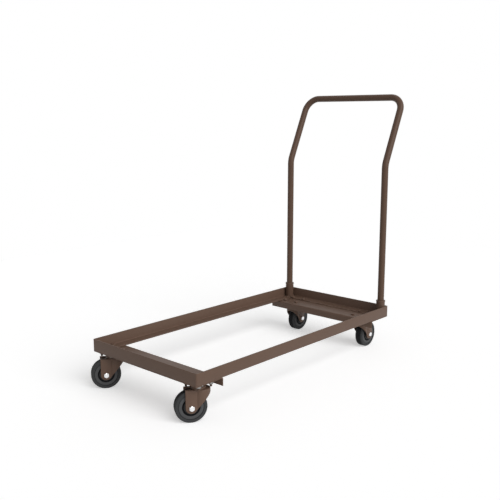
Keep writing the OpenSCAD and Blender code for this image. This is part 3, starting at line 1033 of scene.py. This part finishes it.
class TROLLEY_OT_welds(bpy.types.Operator):
    """Lay the weld beads of the frame, the sockets and the cross plates"""

    bl_idname = "trolley.welds"
    bl_label = "Weld beads"

    # Shares of a bead's width: step and length of a ripple, and how far the beads stand off their corners
    ripple_step = 0.45
    ripple_l = 0.62
    corner_off = 0.35
    stitch_off = 0.2
    socket_off = 0.1
    socket_rise = 0.15

    # The stitches: their length and spacing, and the shares of half a length for those at the sides
    stitch_l = 26 * MM
    stitch_gap = 0.18 * FRAME_W
    side_shift = 0.25
    side_share = 0.4

    def execute(self, context):
        shape = context.scene.trolley_shape
        width = shape.weld_w
        beads = []
        for along in (-1, 1):
            for across in (-1, 1):
                beads.append(self.corner(along, across, width))
            beads += self.stitches(along, width)
        for y in (FRAME_Y - POST_OFF, FRAME_Y + POST_OFF):
            beads.append(self.socket_ring(y, TUBE_R + shape.socket_fit + shape.socket_t, width))
        dress(join("weld_beads", beads), "frame", "powder_coat", smooth=60)
        return {"FINISHED"}

    def drop(self, place, width, direction):
        """One frozen ripple of a bead, flattened along the bead."""
        bpy.ops.mesh.primitive_uv_sphere_add(segments=14, ring_count=8, radius=width / 2, location=place)
        piece = take("weld_drop")
        edit(piece)
        select_all()
        squeeze = [self.ripple_l if abs(part) > 0.5 else 1.0 for part in direction]
        bpy.ops.transform.resize(value=squeeze, center_override=place)
        leave_edit()
        return piece

    def bead(self, start, end, width):
        """Ripples that overlap along a straight line."""
        run = end - start
        count = max(2, round(run.length / (self.ripple_step * width)))
        piece = self.drop(start, width, run.normalized())
        step = run / (count - 1)
        return apply_modifier(
            piece,
            "ARRAY",
            count=count,
            use_relative_offset=False,
            use_constant_offset=True,
            constant_offset_displace=step,
        )

    def corner(self, along, across, width):
        """The upright bead inside a corner of the frame."""
        inset = ANGLE_T + self.corner_off * width
        x = FRAME_X + along * (FRAME_L / 2 - inset)
        y = FRAME_Y + across * (FRAME_W / 2 - inset)
        start = Vector((x, y, FLANGE_Z + width / 2))
        return self.bead(start, Vector((x, y, FRAME_Z + LEG_H - width)), width)

    def stitches(self, along, width):
        """Short beads where the flanges lie on a cross plate."""
        edge = FRAME_X + along * (FRAME_L / 2 - FLANGE_W)
        rise = FRAME_Z + self.stitch_off * width
        half = self.stitch_l / 2
        made = []
        for y in (FRAME_Y - self.stitch_gap, FRAME_Y, FRAME_Y + self.stitch_gap):
            made.append(self.bead(Vector((edge, y - half, rise)), Vector((edge, y + half, rise)), width))
        pin = "rear_left" if along > 0 else "front_left"
        x = KINGPIN[pin].x - along * self.side_shift * half
        reach = X * self.side_share * half
        for across in (-1, 1):
            spot = Vector((x, FRAME_Y + across * (FRAME_W / 2 - FLANGE_W), rise))
            made.append(self.bead(spot - reach, spot + reach, width))
        return made

    def socket_ring(self, y, radius, width):
        """The bead round the foot of a socket."""
        centre = Vector((POST_X, y, FLANGE_Z))
        start = centre + X * (radius + self.socket_off * width) + Z * self.socket_rise * width
        piece = self.drop(start, width, Y)
        count = round(math.tau * radius / (self.ripple_step * width))
        edit(piece)
        select_all()
        bpy.ops.mesh.spin(steps=count, angle=math.tau, center=centre, axis=Z, dupli=True)
        leave_edit()
        return piece


class TROLLEY_OT_fixings(bpy.types.Operator):
    """Make the caster bolts with their spring washers and nuts, and the kingpin nuts"""

    bl_idname = "trolley.fixings"
    bl_label = "Bolts and nuts"

    def execute(self, context):
        shape = context.scene.trolley_shape
        spots = bolt_spots(shape)
        self.bolts(shape, spots)
        self.washers(shape, spots)
        self.nuts(shape, spots)
        self.kingpin_nuts(shape)
        return {"FINISHED"}

    def level(self, spots, z):
        """The places of the bolts, all at one height."""
        return [Matrix.Translation((x, y, z)) for x, y, seat_z in spots]

    def bolts(self, shape, spots):
        head = hex_solid("head", shape.bolt_flats, BOLT_HEAD_H)
        end_z = BOLT_END_Z - shape.bolt_end
        shank = threaded_end("shank", shape.bolt_d, shape.thread_pitch, end_z, FRAME_Z)
        made = copies(head, [Matrix.Translation(spot) for spot in spots])
        made += copies(shank, self.level(spots, 0))
        dress(join("turned_caster_bolts", made), "frame", "powder_coat", "caster_bolts")
        discard(head, shank)

    def nuts(self, shape, spots):
        nut = hex_solid("nut", shape.bolt_flats, NUT_H, shape.bolt_d / 2, chamfer_foot=True)
        made = copies(nut, self.level(spots, PLATE_Z - WASHER_T - NUT_H))
        dress(join("turned_caster_nuts", made), "frame", "plain_steel", "caster_nuts")
        discard(nut)

    def washers(self, shape, spots):
        """Spring washers: rings with a slit."""
        bore_r = shape.bolt_d / 2
        section = [(bore_r, 0), (shape.washer_r, 0), (shape.washer_r, WASHER_T), (bore_r, WASHER_T)]
        points = [Vector((radius, 0, along)) for radius, along in section]
        pencil = Pencil("washer", points[0]).line(*points[1:]).fill()
        washer = pencil.revolve(Z, WASHER_STEPS, math.tau - WASHER_SLIT)
        soften(washer, shape.washer_edge, segments=1)
        made = copies(washer, self.level(spots, PLATE_Z - WASHER_T))
        dress(join("split_caster_washers", made), "frame", "plain_steel", "caster_washers")
        discard(washer)

    def kingpin_nuts(self, shape):
        nut = hex_solid("nut", shape.kingpin_flats, KINGPIN_NUT_H, shape.kingpin_d / 2, chamfer_foot=True)
        lift = Matrix.Translation((0, 0, KINGPIN_NUT_Z))
        made = copies(nut, [caster_place(corner) @ lift for corner in CORNERS])
        dress(join("turned_kingpin_nuts", made), "frame", "zinc", "kingpin_nuts")
        discard(nut)


class TROLLEY_OT_swivels(bpy.types.Operator):
    """Press the caster plates and the races of the swivel bearings"""

    bl_idname = "trolley.swivels"
    bl_label = "Swivel bearings"

    def execute(self, context):
        shape = context.scene.trolley_shape
        plate = self.plate(shape)
        race = self.lower_race(shape)
        for corner in CORNERS:
            upright = Matrix.Translation((KINGPIN[corner].x, KINGPIN[corner].y, 0))
            turned = caster_place(corner)
            fork = "fork_" + corner
            put(plate, "pressed_plate_" + corner, upright, "frame", "powder_coat", "caster_plate_" + corner)
            put(race, "pressed_race_" + corner, turned, fork, "powder_coat", "lower_race_" + corner)
            paint_node("kingpin_" + corner, "zinc")
            paint_node("bearing_balls_" + corner, "zinc")
        discard(plate, race)
        return {"FINISHED"}

    def plate(self, shape):
        """A plate with round corners, and the upper race pressed on under it."""
        bpy.ops.mesh.primitive_plane_add(size=1, location=(0, 0, PLATE_Z))
        bpy.context.active_object.scale = (PLATE_L, PLATE_W, 1)
        flat = take("flat")
        edit(flat)
        select_all()
        bpy.ops.mesh.bevel(offset=shape.plate_r, segments=6, affect="VERTICES")
        select_all()
        extrude(Z * (PLATE_TOP - PLATE_Z))
        close_up()
        leave_edit()
        soften(flat, shape.sheet_edge)
        lead = shape.race_lead
        sunk = PLATE_Z + shape.race_sunk
        bore_r = shape.race_bore_r
        profile = [(bore_r, UPPER_RACE_Z), (RACE_R - lead, UPPER_RACE_Z), (RACE_R, UPPER_RACE_Z + lead)]
        profile += [(RACE_R, sunk), (bore_r, sunk)]
        cup = soften(ring("cup", Z, X, profile, RACE_STEPS), shape.race_edge)
        return join("plate", [flat, cup])

    def lower_race(self, shape):
        """A cup on the fork's crown, rolled in at its upper edge."""
        lead = shape.race_lead
        base = CROWN_TOP - shape.fork_t / 2
        top = CROWN_TOP + RACE_H
        bore_r = shape.race_bore_r
        profile = [(bore_r, base), (RACE_R, base), (RACE_R, top - lead)]
        profile += [(RACE_R - lead, top), (bore_r, top)]
        return soften(ring("race", Z, X, profile, RACE_STEPS), shape.race_edge)


class TROLLEY_OT_forks(bpy.types.Operator):
    """Press the caster forks from sheet"""

    bl_idname = "trolley.forks"
    bl_label = "Forks"

    def execute(self, context):
        shape = context.scene.trolley_shape
        model = self.fork(shape)
        for corner in CORNERS:
            node = "fork_" + corner
            put(model, "pressed_" + node, caster_place(corner), node, "powder_coat", node)
        discard(model)
        return {"FINISHED"}

    def fork(self, shape):
        """Crown, skirt and legs of one pressing, with the seat of the lower race."""
        crease_x = TRAIL - shape.crease_in
        tail_x = TRAIL + shape.foot_r
        shoulder_z = CROWN_TOP - shape.shoulder_drop
        bore_r = shape.kingpin_d / 2 + shape.swivel_fit
        base = CROWN_TOP - shape.fork_t
        seat = [(bore_r, base), (RACE_R, base), (RACE_R, CROWN_TOP), (bore_r, CROWN_TOP)]
        cap = self.cap(shape, crease_x, tail_x, shoulder_z, bore_r)
        pieces = [cap, ring("seat", Z, X, seat, RACE_STEPS)]
        pieces += [self.leg(shape, side, crease_x, tail_x, shoulder_z) for side in (-1, 1)]
        return join("fork", pieces)

    def cap(self, shape, crease_x, tail_x, shoulder_z, bore_r):
        """Crown and skirt folded from one sheet, cut away for the legs and notched over the wheel."""
        half = LEG_OUT - shape.joggle
        nose = Vector((shape.nose_r - shape.nose_reach, 0, CROWN_TOP))
        meet = math.asin(half / shape.nose_r)
        bowl_x = nose.x + shape.nose_r * math.cos(meet)
        pencil = Pencil("cap", (tail_x, -half, CROWN_TOP))
        pencil.line((bowl_x, -half, CROWN_TOP)).arc(nose, Z, math.degrees(2 * meet) - 360, BOWL_STEPS)
        pencil.line((tail_x, half, CROWN_TOP)).fill()
        piece = pencil.piece

        def rim(edge):
            return any(v.co.x < tail_x - NEAR for v in edge.verts)

        pick(piece, "edges", rim)
        extrude(-Z * (CROWN_TOP - AXLE_Z + shape.foot_r))
        close_up()

        def crown_edge(edge):
            return len(edge.link_faces) == 2 and all(abs(v.co.z - CROWN_TOP) < NEAR for v in edge.verts)

        pick(piece, "edges", crown_edge)
        bpy.ops.mesh.bevel(offset=shape.press_r, segments=5, affect="EDGES")
        leave_edit()
        apply_modifier(piece, "SOLIDIFY", thickness=shape.fork_t, offset=-1.0, use_even_offset=True)
        carve(piece, self.side_outline(shape, tail_x), "INTERSECT")
        bottom = Vector((crease_x + shape.fork_t, -WHEEL_R, 0))
        top = Vector((tail_x + WHEEL_R, WHEEL_R, shoulder_z - shape.fork_t))
        carve(piece, block("room", bottom, top), "DIFFERENCE")
        carve(piece, self.notch(half - shape.tail_flange, tail_x + SPARE), "DIFFERENCE")
        bore = [(0, 0), (bore_r, 0), (bore_r, 2 * CROWN_TOP), (0, 2 * CROWN_TOP)]
        carve(piece, ring("bore", Z, X, bore, BORE_STEPS), "DIFFERENCE")
        return soften(piece, shape.sheet_edge)

    def notch(self, radius, tail_x):
        """A block through the crown behind the race, with a round end."""
        depth = 6 * MM
        base = CROWN_TOP - depth
        centre = Vector((RACE_R + radius, 0, base))
        pencil = Pencil("notch", (tail_x, -radius, base)).line((centre.x, -radius, base))
        pencil.arc(centre, Z, -180, NOTCH_STEPS).line((tail_x, radius, base))
        return pencil.solid(Z * 2 * depth)

    def leg(self, shape, side, crease_x, tail_x, shoulder_z):
        """The flat of a leg, which stands out from the crown, rounded over at its top and front edges."""
        outer = side * LEG_OUT
        inner = side * (LEG_OUT - shape.fork_t)
        bottom = Vector((crease_x, min(inner, outer), AXLE_Z - shape.foot_r))
        piece = block("leg", bottom, Vector((tail_x, max(inner, outer), shoulder_z)))
        carve(piece, self.side_outline(shape, tail_x), "INTERSECT")

        def pressed(edge):
            outside = all(abs(v.co.y - outer) < NEAR for v in edge.verts)
            top = all(abs(v.co.z - shoulder_z) < NEAR for v in edge.verts)
            front = all(abs(v.co.x - crease_x) < NEAR for v in edge.verts)
            return outside and (top or front)

        edit(piece)
        pick(piece, "edges", pressed)
        bpy.ops.mesh.bevel(offset=shape.joggle_r, segments=4, affect="EDGES")
        leave_edit()
        return soften(piece, shape.leg_edge, angle=60)

    def side_outline(self, shape, tail_x):
        """A block with the fork's outline from the side: a round foot and a hollow leading edge."""
        across = -(shape.nose_r + SPARE)
        nose = Vector((-shape.nose_reach, across, CROWN_TOP - shape.skirt_h))
        foot = Vector((TRAIL, across, AXLE_Z))
        span = foot - nose
        reach = shape.hollow_r + shape.foot_r
        bend = math.acos(
            (shape.hollow_r**2 + span.length_squared - reach**2) / (2 * shape.hollow_r * span.length)
        )
        way = math.atan2(span.z, span.x) - bend
        hollow = nose + shape.hollow_r * Vector((math.cos(way), 0, math.sin(way)))
        back = hollow - foot
        foot_turn = math.degrees(math.atan2(back.z, back.x))
        from_foot = math.degrees(math.atan2(-back.z, -back.x))
        to_nose = math.degrees(way) + 180
        pencil = Pencil("outline", nose - X * SPARE)
        pencil.line((nose.x - SPARE, across, CROWN_TOP + SPARE), (tail_x, across, CROWN_TOP + SPARE))
        pencil.line((tail_x, across, AXLE_Z)).arc(foot, -Y, foot_turn, FOOT_STEPS)
        pencil.arc(hollow, -Y, to_nose - from_foot, HOLLOW_STEPS)
        return pencil.solid(-Y * 2 * across)


class TROLLEY_OT_axles(bpy.types.Operator):
    """Make the axle bolts and their nuts"""

    bl_idname = "trolley.axles"
    bl_label = "Axles"

    def execute(self, context):
        shape = context.scene.trolley_shape
        head_h = -AXLE_HEAD_Y - LEG_OUT
        head = hex_solid("head", shape.axle_flats, head_h)
        shank = threaded_end("shank", shape.axle_d, shape.thread_pitch, -AXLE_END_Y, LEG_OUT)
        nut = hex_solid("nut", shape.axle_flats, AXLE_NUT_H, shape.axle_d / 2)
        along = Matrix.Rotation(math.radians(-90), 4, "X")
        against = Matrix.Rotation(math.radians(90), 4, "X")
        out = Matrix.Translation((0, 0, LEG_OUT))
        for corner in CORNERS:
            place = axle_place(corner)
            pieces = [
                copy_to(head, "head_copy", place @ against @ out),
                copy_to(shank, "shank_copy", place @ against),
            ]
            bolt = join("axle_bolt_turned_" + corner, pieces)
            dress(bolt, "fork_" + corner, "zinc", "axle_bolt_" + corner)
            nut_place = place @ along @ out
            put(nut, "axle_nut_turned_" + corner, nut_place, "fork_" + corner, "zinc", "axle_nut_" + corner)
            paint_node("axle_sleeve_" + corner, "plain_steel")
        discard(head, shank, nut)
        return {"FINISHED"}


class TROLLEY_OT_wheels(bpy.types.Operator):
    """Mould the tyres, the wheel cores and their dust covers"""

    bl_idname = "trolley.wheels"
    bl_label = "Wheels"

    def execute(self, context):
        shape = context.scene.trolley_shape
        edge = shape.mould_edge
        # Zones painted black: the running surface, partly the rubber's own black and partly painted shade;
        # the tyre's step, the core's seat and the covers' channels, painted shade in their grooves.
        running = (RIM_R + shape.tyre_step, WHEEL_R, shape.tread_w / 2)
        step = (RIM_R - edge, RIM_R + shape.tyre_step, TYRE_W / 2)
        seat = (COVER_R - edge, COVER_R + shape.seat_w + edge, COVER_OUT - edge)
        channel = (shape.cover_top_r - edge, COVER_R, COVER_OUT - edge)
        moulds = (
            ("tyre_", "tyre", self.tyre(shape), (running, step)),
            ("wheel_core_", "wheel_core", self.core(shape), (seat,)),
            ("dust_covers_", "dust_cover", self.covers(shape), (channel,)),
        )
        for corner in CORNERS:
            place = axle_place(corner)
            for part, slot, model, tread_and_shade_zones in moulds:
                node = part + corner
                piece = put(model, "moulded_" + node, place, "wheel_" + corner, slot, node)
                self.paint_tread_and_shade_black(piece, place.inverted(), tread_and_shade_zones)
        discard(*(model for part, slot, model, tread_and_shade_zones in moulds))
        return {"FINISHED"}

    def paint_tread_and_shade_black(self, piece, back, zones):
        """Paints the tread's black on zones, each an inner radius, an outer radius and half a width: on the
        running surface partly the rubber's own black and partly painted shade, in the grooves painted
        shade.
        """

        def within(face):
            spot = back @ face.calc_center_median()
            radius = math.hypot(spot.x, spot.z)
            return any(abs(spot.y) < half and inner < radius < outer for inner, outer, half in zones)

        piece.data.materials.append(finish("tread"))
        edit(piece)
        pick(piece, "faces", within)
        piece.active_material_index = 1
        bpy.ops.object.material_slot_assign()
        leave_edit()

    def tyre(self, shape):
        """A solid tyre with round shoulders, a fine mould line and a step down to the core."""
        half = TYRE_W / 2
        flat = half - shape.shoulder_r
        step = shape.tyre_step
        line = shape.mould_line
        tread = shape.tread_w / 2
        side = WHEEL_R - shape.shoulder_r
        pencil = Pencil("tyre", (RIM_R, -half + step, 0))
        pencil.line((RIM_R + step, -half, 0), (side, -half, 0)).arc((side, -flat, 0), Z, 90, SHOULDER_STEPS)
        pencil.line((WHEEL_R, -tread, 0), (WHEEL_R - line, -line, 0), (WHEEL_R, 0, 0))
        pencil.line((WHEEL_R - line, line, 0), (WHEEL_R, tread, 0), (WHEEL_R, flat, 0))
        pencil.arc((side, flat, 0), Z, 90, SHOULDER_STEPS)
        pencil.line((RIM_R + step, half, 0), (RIM_R, half - step, 0)).close()
        return pencil.revolve(Y, WHEEL_STEPS)

    def core(self, shape):
        """Hub, web and rim in one moulding, with a step in the rim round each cover."""
        bore = shape.sleeve_r + shape.run_fit
        hub = HUB_W / 2
        web = shape.web_t / 2
        face = COVER_OUT
        seat_r = COVER_R + shape.seat_w
        seat = face - shape.seat_d
        half = [(bore, hub), (shape.hub_r, hub), (shape.hub_r, web), (COVER_R, web)]
        half += [(COVER_R, seat), (seat_r, seat), (seat_r, face), (RIM_R, face)]
        other = [(radius, -along) for radius, along in reversed(half)]
        return soften(ring("core", Y, X, half + other, WHEEL_STEPS), shape.mould_edge)

    def covers(self, shape):
        """A cap on each side: a middle flush with the rim, in a deep channel with a raised edge."""
        sheet = shape.cover_t
        top_r = shape.cover_top_r
        face = COVER_OUT
        deep = shape.web_t / 2 + sheet
        lip_r = COVER_R - shape.lip_t
        lip_top = face - shape.lip_drop
        hub_r = shape.hub_r
        back = deep - sheet
        profile = [(hub_r, face - sheet), (top_r - sheet, face - sheet), (top_r - sheet, back)]
        profile += [(COVER_R, back), (COVER_R, lip_top), (lip_r, lip_top), (lip_r, deep)]
        profile += [(top_r, deep), (top_r, face), (hub_r, face)]
        near = soften(ring("cover", Y, X, profile, WHEEL_STEPS), shape.mould_edge)
        far = copy_to(near, "cover_copy", Matrix.Rotation(math.pi, 4, "Z"))
        return join("covers", [near, far])


OPERATORS = (
    TROLLEY_OT_stage,
    TROLLEY_OT_rails,
    TROLLEY_OT_cross_plates,
    TROLLEY_OT_sockets,
    TROLLEY_OT_handle,
    TROLLEY_OT_welds,
    TROLLEY_OT_fixings,
    TROLLEY_OT_swivels,
    TROLLEY_OT_forks,
    TROLLEY_OT_axles,
    TROLLEY_OT_wheels,
)


class TROLLEY_PT_build(bpy.types.Panel):
    """Lists the pieces of the trolley, its sizes and its finishes"""

    bl_idname = "TROLLEY_PT_build"
    bl_label = "Chair Trolley"
    bl_space_type = "VIEW_3D"
    bl_region_type = "UI"
    bl_category = "Trolley"

    def draw(self, context):
        for operator in OPERATORS:
            self.layout.operator(operator.bl_idname)
        for name in GROUPS:
            group = getattr(context.scene, name)
            box = self.layout.box()
            for value in group.__annotations__:
                box.prop(group, value)


GROUPS = {"trolley_shape": TrolleyShape, "trolley_finish": TrolleyFinish, "trolley_studio": TrolleyStudio}


def register():
    for name, group in GROUPS.items():
        bpy.utils.register_class(group)
        setattr(bpy.types.Scene, name, bpy.props.PointerProperty(type=group))
    for operator in OPERATORS:
        bpy.utils.register_class(operator)
    bpy.utils.register_class(TROLLEY_PT_build)


def unregister():
    bpy.utils.unregister_class(TROLLEY_PT_build)
    for operator in reversed(OPERATORS):
        bpy.utils.unregister_class(operator)
    for name, group in GROUPS.items():
        delattr(bpy.types.Scene, name)
        bpy.utils.unregister_class(group)


def main():
    register()
    bpy.ops.trolley.stage()
    bpy.ops.trolley.rails()
    bpy.ops.trolley.cross_plates()
    bpy.ops.trolley.sockets()
    bpy.ops.trolley.handle()
    bpy.ops.trolley.welds()
    bpy.ops.trolley.fixings()
    bpy.ops.trolley.swivels()
    bpy.ops.trolley.forks()
    bpy.ops.trolley.axles()
    bpy.ops.trolley.wheels()


if __name__ == "__main__":
    main()
